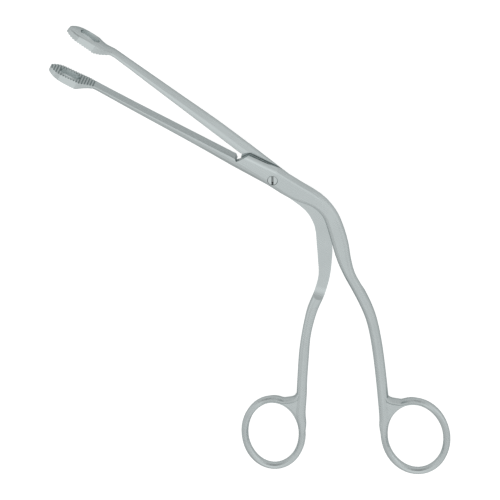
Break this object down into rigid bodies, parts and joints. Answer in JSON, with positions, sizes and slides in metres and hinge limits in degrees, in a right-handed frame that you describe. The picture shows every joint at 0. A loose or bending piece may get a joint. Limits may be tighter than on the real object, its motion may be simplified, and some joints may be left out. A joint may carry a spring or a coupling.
{
  "type": "catheter forceps",
  "caption": "Steel catheter-introducing forceps: two crossed, angled limbs on a half-lapped screw joint, with windowed grooved jaws and oval finger rings.",
  "frame": {"origin": "on the pivot screw's axis, in the plane of the joint's back face, where the screw's end lies flush", "axes": "+X towards the jaws, +Y to the side the handles bend to, +Z out of the joint's front face, which carries the screw's slotted head"},
  "size_m": [0.2439, 0.1443, 0.0091],
  "materials": {
    "limb_steel": "satin",
    "screw_steel": "satin"
  },
  "bodies": {
    "back_half": {"back_limb": "limb_steel", "pivot_screw": "screw_steel"},
    "front_half": {"front_limb": "limb_steel"}
  },
  "joints": [
    {"name": "lap_pivot", "type": "hinge", "parent": "back_half", "child": "front_half", "pos_m": [0, 0, 0], "axis": [0, 0, 1], "range_deg": [-9.2, 20]}
  ]
}
